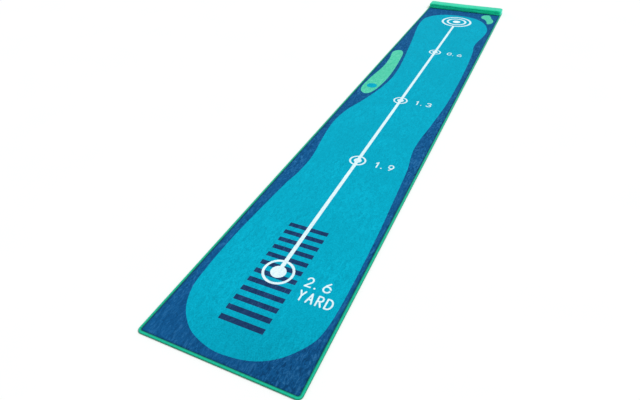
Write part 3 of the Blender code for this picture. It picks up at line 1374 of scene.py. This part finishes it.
@dataclass(frozen=True)
class OverlockEdge:
    """The yarn that wraps the mat's raw edge: close slanted turns over a packed bed of the same yarn.

    Attributes:
        plan: the mat's outline.
        pitch: the distance between two turns.
        width: how wide the yarn lies along the edge.
        thickness: how thick it lies.
        waver: how far the edge wanders in and out.
        spacing: the distance between the sections of the bed.
    """

    plan: MatPlan
    pitch: float = 3.0 * MM
    width: float = 2.9 * MM
    thickness: float = 0.84 * MM
    waver: float = 0.12 * MM
    spacing: float = 12 * MM

    # One turn in millimetres: along the edge, in from it and up, with how much painted shade each point takes
    # on its flank.
    TURN = (
        *((0.0, 7.2, 0.5, 1.0), (-0.5, 1.4, 0.7, 1.0), (-0.6, 0.45, 1.2, 1.0), (-0.6, 0.45, 2.5, 1.0)),
        *((-0.5, 0.9, 3.8, 0.8), (-0.3, 2.2, 4.7, 0.1), (0.0, 3.8, 4.95, 0.0), (0.4, 5.8, 4.75, 0.2)),
        *((0.8, 7.6, 4.4, 1.0), (1.4, 8.5, 4.1, 1.0)),
    )
    # The slot that the cloth and the backing lie in, in millimetres in from the edge and up.
    SLOT = ((8.5, 3.97), (0.95, 3.97), (0.95, 0.85), (7.4, 0.85))

    def turn(self) -> bpy.types.Object:
        """One turn of the yarn."""
        sides = 4
        path = [Vector((x, y, z)) * MM for x, y, z, _ in self.TURN]
        mesh = tube(path, self.width, self.thickness, sides)
        tag_points(mesh, "flank", (flank for *_, flank in self.TURN for _ in range(sides)))
        return new_object("overlock_turn", mesh)

    def bed(self, name: str, side: Side) -> bpy.types.Mesh:
        """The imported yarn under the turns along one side.

        Args:
            name: the mesh's name.
            side: the side.

        Returns:
            A closed C-shaped bead.
        """
        # The bed keeps the turn's painted shade and takes full painted shade in the slot.
        section = [(y, z, flank) for _, y, z, flank in self.TURN] + [(y, z, 1.0) for y, z in self.SLOT]
        rings = []
        for edge, inward in self.plan.run(side, self.spacing):
            drift = self.waver / MM * wave(edge, 60 * MM, 5.0)
            rings.append([edge + (inward * (y + drift) + Vector((0, 0, z))) * MM for y, z, _ in section])
        mesh = loft(name, rings)
        tag_points(mesh, "flank", (flank for _ in rings for *_, flank in section))
        return tag_points(mesh, "strand", (0.5 for _ in mesh.vertices))

    def build(self, tree: RepeatTree, yarn: bpy.types.Material) -> list[bpy.types.Object]:
        """Build and dress the four runs.

        Args:
            tree: the tree that repeats a shape along a path.
            yarn: the yarn's material.

        Returns:
            The pieces.
        """
        turn, pieces = self.turn(), []
        for seed, side in enumerate(Side):
            name = f"edge_overlock_{side.name.lower()}"
            path = line_object("overlock_path", [edge for edge, _ in self.plan.run(side, self.spacing)])
            inputs = {"Pitch": self.pitch, "Tilt": 0.02, "Size Spread": 0.02, "Seed": seed, "Finish": yarn}
            piece = tree.run(f"{name}_yarn", self.bed(name, side), Layout=path, Shape=turn, **inputs)
            pieces.append(finish_piece(piece, Body.MAT, [name], crease=60.0))
            discard(path)
        discard(turn)
        return pieces


class Fastener(Enum):
    """The two halves of the tape: the node's name, its body, its slot and which way its face points."""

    LOOP = ("loop_tape", Body.MAT, Slot.LOOP, 1)
    HOOK = ("hook_tape", Body.BUMPER, Slot.HOOK, -1)


@dataclass(frozen=True)
class FasteningTape:
    """A strip of hook or loop tape: a woven ribbon, its loops or hooks, and the stitches that hold it.

    Attributes:
        half: which half of the fastener it is.
        place: "front" or "rear", for the mat's two rows.
        ribbon: how thick the woven ribbon is.
        step: the distance between two loops or hooks, drawn wider than the real 1 mm.
        wire: how thick a loop or a hook is, drawn thicker than the real 0.1 mm.
        stitch_step: the length of a stitch.
        stitch_inset: how far the stitches run from the ribbon's edge.
    """

    half: Fastener
    place: str
    ribbon: float = 0.35 * MM
    step: float = 2.4 * MM
    wire: float = 0.2 * MM
    stitch_step: float = 3.2 * MM
    stitch_inset: float = 1.6 * MM

    # A loop's and a hook's path, in millimetres along, across and out of the ribbon.
    PATHS = {
        Fastener.LOOP: (
            (-0.6, 0, -0.05), (-0.55, 0.1, 0.2), (0.0, 0.2, 0.34), (0.55, 0.1, 0.2), (0.6, 0, -0.05),
        ),
        Fastener.HOOK: ((0, 0, -0.05), (0, 0, 0.2), (0.12, 0, 0.33), (0.36, 0, 0.32), (0.48, 0, 0.14)),
    }

    def build(
        self, trees: dict[Spread, RepeatTree], tape: Any, thread: Any, stitch: Any
    ) -> list[bpy.types.Object]:
        """Build and dress the tape and its stitches.

        Args:
            trees: the trees that repeat a shape.
            tape: the tape's material.
            thread: the stitches' material.
            stitch: the shape of one stitch.

        Returns:
            The two pieces.
        """
        prefix, body, slot, up = self.half.value
        node = f"{prefix}_{self.place}"
        low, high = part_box(node)
        centre = ((low.x + high.x) / 2, (low.y + high.y) / 2)
        half = ((high.x - low.x) / 2, (high.y - low.y) / 2)
        back = low.z if up > 0 else high.z
        face = back + up * self.ribbon
        levels = [(0.0, back), (0.0, face - up * 0.1 * MM), (0.12 * MM, face)]
        ribbon = plate(node, centre, half, (2 * MM, 2 * MM), levels, steps=4)

        route = [Vector(p) * MM for p in self.PATHS[self.half]]
        shape = new_object("fastener", tube(route, self.wire, self.wire, 3))
        spots = []
        for column in range(int((2 * half[0] - 2 * MM) / self.step)):
            for row in range(int((2 * half[1] - 2 * MM) / self.step)):
                x = low.x + 1.5 * MM + (column + 0.5 * (row % 2)) * self.step
                spots.append((x, low.y + 1.6 * MM + row * self.step, face))
        patch = new_object("fastener_places", new_mesh("fastener_places", spots, []))
        facing = {"Up": (0.0, 0.0, float(up)), "Seed": len(prefix) + len(self.place)}
        piece = trees[Spread.PATCH].run(
            f"{node}_ribbon", ribbon, Layout=patch, Shape=shape, Tilt=0.3, Finish=tape, **facing
        )
        finish_piece(piece, body, [node])

        inset = self.stitch_inset
        ring = rounded_outline(half[0] - inset, half[1] - inset, 1 * MM, 3)
        seam = [(centre[0] + x, centre[1] + y, face + up * 0.1 * MM) for x, y in ring]
        path = line_object("tape_seam", seam, closed=True)
        stitches = trees[Spread.PATH].run(
            f"{node}_stitches",
            None,
            Layout=path,
            Shape=stitch,
            Pitch=self.stitch_step,
            Finish=thread,
            **facing,
        )
        finish_piece(stitches, body)
        discard(shape, patch, path)
        return [piece, stitches]


# ---------------------------------------------------------------------------------------------------------
# The bumper
# ---------------------------------------------------------------------------------------------------------


@dataclass(frozen=True)
class Bumper:
    """The foam bar across the far end, in a cover sewn from a top panel, a side band and a base panel.

    Attributes:
        low: the lowest corner of its space.
        high: the highest corner of its space.
        corners: the radius of its two front corners and of its two rear ones.
        shoulder: the radius at which its sides turn into its top.
        room: how far inside its space the shape starts, because it swells.
        batter: how far its foot stands out from the middle of its sides, and its shoulder in.
        grain: the size of the mesh that swells.
        most: the farthest that a point may move when it swells.
        seam: the height of the seam between the top panel and the side band.
        pinch: how far the seam pulls in.
        cloth: the thickness of the cover's cloth.
        foot: the height of the side band's lower edge.
        base: the heights of the base panel's two faces.
        core_foot: the height of the foam's underside.
        core_gap: how far the foam stays inside the cover's cloth.
        pressure: how hard the filling pushes while the cover swells.
        frames: how many steps the swelling takes.
        pucker: how far the cloth beside the seam stands in and out.
        ripple: how deep the ripples on the sides are.
        sag: how far the whole surface slowly wanders.
        stitch_step: the length of a stitch.
    """

    low: Vector
    high: Vector
    corners: Point = (22 * MM, 12 * MM)
    shoulder: float = 2 * MM
    room: float = 1.8 * MM
    batter: float = 0.5 * MM
    grain: float = 3.4 * MM
    most: float = 2.2 * MM
    seam: float = 29 * MM
    pinch: float = 0.9 * MM
    cloth: float = 0.9 * MM
    foot: float = 6.0 * MM
    base: Point = (6.8 * MM, 7.6 * MM)
    core_foot: float = 7.9 * MM
    core_gap: float = 1.6 * MM
    pressure: float = 4.0
    frames: int = 20
    pucker: float = 0.35 * MM
    ripple: float = 1.1 * MM
    sag: float = 0.5 * MM
    stitch_step: float = 3.4 * MM

    @classmethod
    def read(cls) -> "Bumper":
        """Take the bumper's space from the frame."""
        low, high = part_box("bumper_side_band")
        return cls(low, Vector((high.x, high.y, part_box("bumper_top_panel")[1].z)))

    @property
    def centre(self) -> Point:
        """The middle of its outline."""
        return (self.low.x + self.high.x) / 2, (self.low.y + self.high.y) / 2

    @property
    def half(self) -> Point:
        """Half its length across the mat and half its depth."""
        return (self.high.x - self.low.x) / 2, (self.high.y - self.low.y) / 2

    def block(self) -> bpy.types.Object:
        """The shape before it swells, in an even mesh."""
        top, turn = self.high.z - self.room, self.shoulder
        levels = [(self.room - self.batter, self.foot - 2 * self.grain)]
        for step in range(5):
            angle = math.pi / 2 * step / 4
            inset = self.room + self.batter + turn * (1 - math.cos(angle))
            levels.append((inset, top - turn * (1 - math.sin(angle))))
        mesh = plate("bumper_block", self.centre, self.half, self.corners, levels, steps=12)
        block = new_object("bumper_block", mesh)
        remesh = block.modifiers.new("even", "REMESH")
        remesh.mode, remesh.voxel_size = "VOXEL", self.grain
        return settle_modifiers(block)

    def swell(self, block: bpy.types.Object) -> None:
        """Let the filling push the cover out, as far as its cloth gives.

        Args:
            block: the shape, with its foot at the bottom, which stays where it is.
        """
        scene = bpy.context.scene
        rest = np.array([v.co for v in block.data.vertices])
        group = block.vertex_groups.new(name="foot")
        group.add([int(i) for i in np.flatnonzero(rest[:, 2] < self.foot)], 1.0, "REPLACE")
        cloth = block.modifiers.new("cloth", "CLOTH")
        cloth.settings.vertex_group_mass = group.name
        cloth.settings.use_pressure = True
        cloth.settings.uniform_pressure_force = self.pressure
        cloth.settings.effector_weights.gravity = 0.0
        cloth.point_cache.frame_start, cloth.point_cache.frame_end = 1, self.frames
        for step in range(1, self.frames + 1):
            scene.frame_set(step)
        settle_modifiers(block)
        scene.frame_set(1)
        moved = np.array([v.co for v in block.data.vertices]) - rest
        far = np.linalg.norm(moved, axis=1, keepdims=True)
        share = self.most * np.tanh(far / self.most) / np.maximum(far, 1e-9)
        block.data.vertices.foreach_set("co", (rest + moved * share).ravel())

    def sew(self, shape: bmesh.types.BMesh) -> None:
        """Pull the seam in, pucker the cloth beside it and ripple the sides.

        Args:
            shape: the swollen surface.
        """
        for offset in (-2.8, -1.4, 0.0, 1.4, 2.8):
            self.cut(shape, self.seam + offset * MM)
        upper = shape.faces.layers.int.new("upper")
        for face in shape.faces:
            face[upper] = face.calc_center_median().z > self.seam
        smooth = shape.verts.layers.float_vector.new("smooth_normal")
        shape.normal_update()
        middle = Vector((*self.centre, 0.0))
        moves = []
        for vertex in shape.verts:
            place, out = vertex.co, vertex.normal
            vertex[smooth] = out
            away = (place.z - self.seam) / (1.5 * MM)
            near_seam = math.exp(-away * away)
            pucker = wave((place.x, place.y, 0.0), 7 * MM, 2.0)
            upright = 1.0 - smooth_step(0.3, 0.9, abs(out.z))
            along = place - middle
            ripple = wave((along.x * 0.22, along.y * 0.22, 2.6 * place.z + 0.2 * along.x), 16 * MM, 6.0)
            slow = wave(place, 70 * MM, 4.0)
            move = -self.pinch * near_seam * (1 + 0.45 * pucker)
            move += self.pucker * pucker * math.exp(-abs(away) / 2.5) * (1 - near_seam)
            move += self.ripple * ripple * upright + self.sag * slow
            moves.append((vertex, out * move))
        for vertex, move in moves:
            vertex.co += move

    @staticmethod
    def cut(shape: bmesh.types.BMesh, height: float, clear: bool = False) -> list[Any]:
        """Cut the surface at a height.

        Args:
            shape: the surface.
            height: where to cut.
            clear: whether to remove what lies below.

        Returns:
            The cut's points and edges.
        """
        whole = [*shape.verts, *shape.edges, *shape.faces]
        made = bmesh.ops.bisect_plane(
            shape, geom=whole, plane_co=(0, 0, height), plane_no=(0, 0, 1), clear_inner=clear
        )
        return made["geom_cut"]

    def panel(self, name: str, shape: bmesh.types.BMesh, is_upper: bool) -> bpy.types.Object:
        """Take the top panel or the side band off the surface, and give it the cloth's thickness, inwards.

        Args:
            name: the piece's name.
            shape: the cover's outer surface, cut at the seam.
            is_upper: True for the top panel.

        Returns:
            The panel.
        """
        part = shape.copy()
        upper = part.faces.layers.int["upper"]
        others = [face for face in part.faces if bool(face[upper]) != is_upper]
        bmesh.ops.delete(part, geom=others, context="FACES")
        for vertex in part.verts:
            if vertex.is_boundary:
                vertex.co.z += 0.04 * MM * (1 if is_upper else -1)
        if not is_upper:
            self.cut(part, self.foot, clear=True)
        panel = object_from(name, part)
        wall = panel.modifiers.new("cloth", "SOLIDIFY")
        wall.thickness, wall.offset, wall.use_even_offset = self.cloth, -1.0, False
        return settle_modifiers(panel)

    def core(self, shape: bmesh.types.BMesh) -> bpy.types.Object:
        """The foam inside the cover.

        Args:
            shape: the cover's outer surface.

        Returns:
            The foam bar, closed underneath.
        """
        foam = shape.copy()
        smooth = foam.verts.layers.float_vector["smooth_normal"]
        for vertex in foam.verts:
            vertex.co -= vertex[smooth] * (self.cloth + self.core_gap)
        self.cut(foam, self.core_foot, clear=True)
        bmesh.ops.holes_fill(foam, edges=[edge for edge in foam.edges if edge.is_boundary])
        return object_from("foam_core", foam)

    @staticmethod
    def seam_path(edges: Sequence[bmesh.types.BMEdge]) -> bpy.types.Object:
        """Turn a closed ring of edges into a path that stitches follow."""
        ahead: dict[bmesh.types.BMVert, list[bmesh.types.BMVert]] = {}
        for edge in edges:
            for vertex in edge.verts:
                ahead.setdefault(vertex, []).append(edge.other_vert(vertex))
        order = [edges[0].verts[0], edges[0].verts[1]]
        while len(order) < len(ahead):
            order.append(next(vertex for vertex in ahead[order[-1]] if vertex != order[-2]))
        points = [vertex.co + vertex.normal * 0.05 * MM for vertex in order]
        return line_object("cover_seam", points, closed=True)

    def build(
        self, trees: dict[Spread, RepeatTree], velour: Any, foam: Any, thread: Any, stitch: Any
    ) -> None:
        """Args:
            trees: the trees that repeat a shape.
            velour: the cover's material.
            foam: the foam's material.
            thread: the seam stitches' material.
            stitch: the shape of one stitch.
        """
        block = self.block()
        self.swell(block)
        smooth = block.modifiers.new("smooth", "SUBSURF")
        smooth.levels = smooth.render_levels = 1
        settle_modifiers(block)
        shape = bmesh.new()
        shape.from_mesh(block.data)
        discard(block)
        self.sew(shape)
        core = self.core(shape)
        top = self.panel("cover_top_panel", shape, is_upper=True)
        band = self.panel("cover_side_band", shape, is_upper=False)
        inset, lowest, highest = 2.4 * MM, *self.base
        half = (self.half[0] - inset, self.half[1] - inset)
        round_off, edge = 0.3 * MM, 0.2 * MM
        levels = [(round_off, lowest), (0.0, lowest + edge), (0.0, highest - edge), (round_off, highest)]
        radii = (self.corners[0] - inset, self.corners[1] - inset)
        base = new_object("cover_base_panel", plate("cover_base_panel", self.centre, half, radii, levels))
        for piece, material in ((core, foam), (top, velour), (band, velour), (base, velour)):
            piece.data.materials.clear()
            piece.data.materials.append(material)
        finish_piece(core, Body.BUMPER, ["bumper_foam_core"], crease=60.0)
        for piece, node in ((top, "top_panel"), (band, "side_band"), (base, "base_panel")):
            finish_piece(piece, Body.BUMPER, [f"bumper_{node}"], crease=60.0)
        upper = shape.faces.layers.int["upper"]
        seam = [edge for edge in shape.edges if len({face[upper] for face in edge.link_faces}) == 2]
        paths = [("seam_stitches", self.seam_path(seam))]
        hem = [part for part in self.cut(shape, self.foot + 3.0 * MM) if isinstance(part, bmesh.types.BMEdge)]
        paths.append(("hem_stitches", self.seam_path(hem)))
        for name, path in paths:
            inputs = {"Pitch": self.stitch_step, "Tilt": 0.04, "Seed": 11, "Finish": thread}
            piece = trees[Spread.PATH].run(f"cover_{name}", None, Layout=path, Shape=stitch, **inputs)
            finish_piece(piece, Body.BUMPER)
            discard(path)
        shape.free()


# ---------------------------------------------------------------------------------------------------------
# The studio
# ---------------------------------------------------------------------------------------------------------


@dataclass(frozen=True)
class Studio:
    """A white studio: a paper floor, soft light from overhead, and a camera that stands at the putting end.

    Attributes:
        plan: the mat's outline.
        floor: how wide the paper is.
        lens: the camera's focal length in millimetres, on a film 36 mm wide.
        stand: where the camera stands, measured from the middle of the mat's near edge.
        turn: how far it is turned to the left of the mat's own direction, in degrees.
        tilt: how far it looks down, in degrees.
        roll: how far it leans over, in degrees.
        sky: the brightness of the even light from all round.
        sun: the strength of the soft light from overhead.
        sun_lean: how far that light stands over towards the near end and to the right, in degrees.
    """

    plan: MatPlan
    floor: float = 30.0
    lens: float = 27.8
    stand: tuple[float, float, float] = (0.5419, -0.5239, 1.0518)
    turn: float = 25.17
    tilt: float = 37.91
    roll: float = -1.01
    sky: float = 0.5
    sun: float = 2.05
    sun_lean: Point = (-10.0, 24.0)

    def build(self, paper: bpy.types.Material) -> None:
        """Lay the floor, set the lights and place the camera.

        Args:
            paper: the floor's material.
        """
        scene, reach, under = bpy.context.scene, self.floor / 2, -0.2 * MM
        corners = [(x * reach, y * reach, under) for x, y in ((-1, -1), (1, -1), (1, 1), (-1, 1))]
        floor = new_object("paper_floor", new_mesh("paper_floor", corners, [(0, 1, 2, 3)]))
        floor.data.materials.append(paper)

        world = bpy.data.worlds.new("soft_studio")
        world.use_nodes = True
        background = world.node_tree.nodes["Background"].inputs
        background["Color"].default_value, background["Strength"].default_value = colour("#FFFFFF"), self.sky
        scene.world = world
        light = bpy.data.lights.new("overhead_softbox", "SUN")
        light.energy, light.angle = self.sun, math.radians(40)
        lamp = bpy.data.objects.new("overhead_softbox", light)
        lamp.rotation_euler = (math.radians(self.sun_lean[0]), math.radians(self.sun_lean[1]), 0.0)
        scene.collection.objects.link(lamp)

        camera = bpy.data.cameras.new("camera")
        camera.sensor_width, camera.lens, camera.clip_end = 36.0, self.lens, 60.0
        viewer = bpy.data.objects.new("camera", camera)
        x, y, z = self.stand
        turns = ((self.turn, "Z"), (90 - self.tilt, "X"), (self.roll, "Z"))
        pose = Matrix.Translation((x, y - self.plan.half_length, z))
        for angle, axis in turns:
            pose = pose @ Matrix.Rotation(math.radians(angle), 4, axis)
        viewer.matrix_world = pose
        scene.collection.objects.link(viewer)
        scene.camera = viewer
        scene.view_settings.view_transform = "Standard"


def main() -> None:
    """Build the studio, the mat and the bumper, and write how big the result is."""
    logging.basicConfig(level=logging.INFO, format="%(name)s: %(message)s")
    plan = MatPlan.read()
    Studio(plan).build(StudioPaper().build())
    trees = {spread: RepeatTree(spread) for spread in Spread}

    pile = {ink: VelourPile(f"velour_pile_{ink.name.lower()}", ink.colours).build() for ink in Ink}
    cloth = PileCloth(plan, Artwork(plan)).build(pile)
    edges = OverlockEdge(plan).build(trees[Spread.PATH], OverlockYarn().build())
    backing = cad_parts["rubber_backing"]
    backing.material_slots[0].material = FoamedRubber().build()

    bend = ((-1.4, 0, -0.2), (-1.1, 0, 0.05), (0, 0, 0.12), (1.1, 0, 0.05), (1.4, 0, -0.2))
    stitch = new_object("stitch", tube([Vector(p) * MM for p in bend], 0.45 * MM, 0.4 * MM, 5))
    black = SewingThread("bonded_nylon_thread_black", "#3A3B3D", "#131314").build()
    green = SewingThread("spun_polyester_thread_green", "#2BC795", "#067A54").build()
    tapes = {
        Fastener.LOOP: NylonTape("nylon_loop_tape_brushed", "#2A2B2D", gloss=0.65).build(),
        Fastener.HOOK: NylonTape("nylon_hook_tape_moulded", "#202123", gloss=0.35).build(),
    }
    for half in Fastener:
        for place in ("front", "rear"):
            FasteningTape(half, place).build(trees, tapes[half], black, stitch)

    cover = (colour("#00DCA0"), colour("#00BF87"), colour("#2CECBE"))
    brushed = {"nap_mark": 26 * MM, "contrast": 0.35, "sheen": 1.0, "sheen_tint": "#A0F4FF"}
    velour = VelourPile("velour_cover_green", cover, **brushed).build()
    Bumper.read().build(trees, velour, OpenCellFoam().build(), green, stitch)
    discard(stitch)


if __name__ == "__main__":
    main()
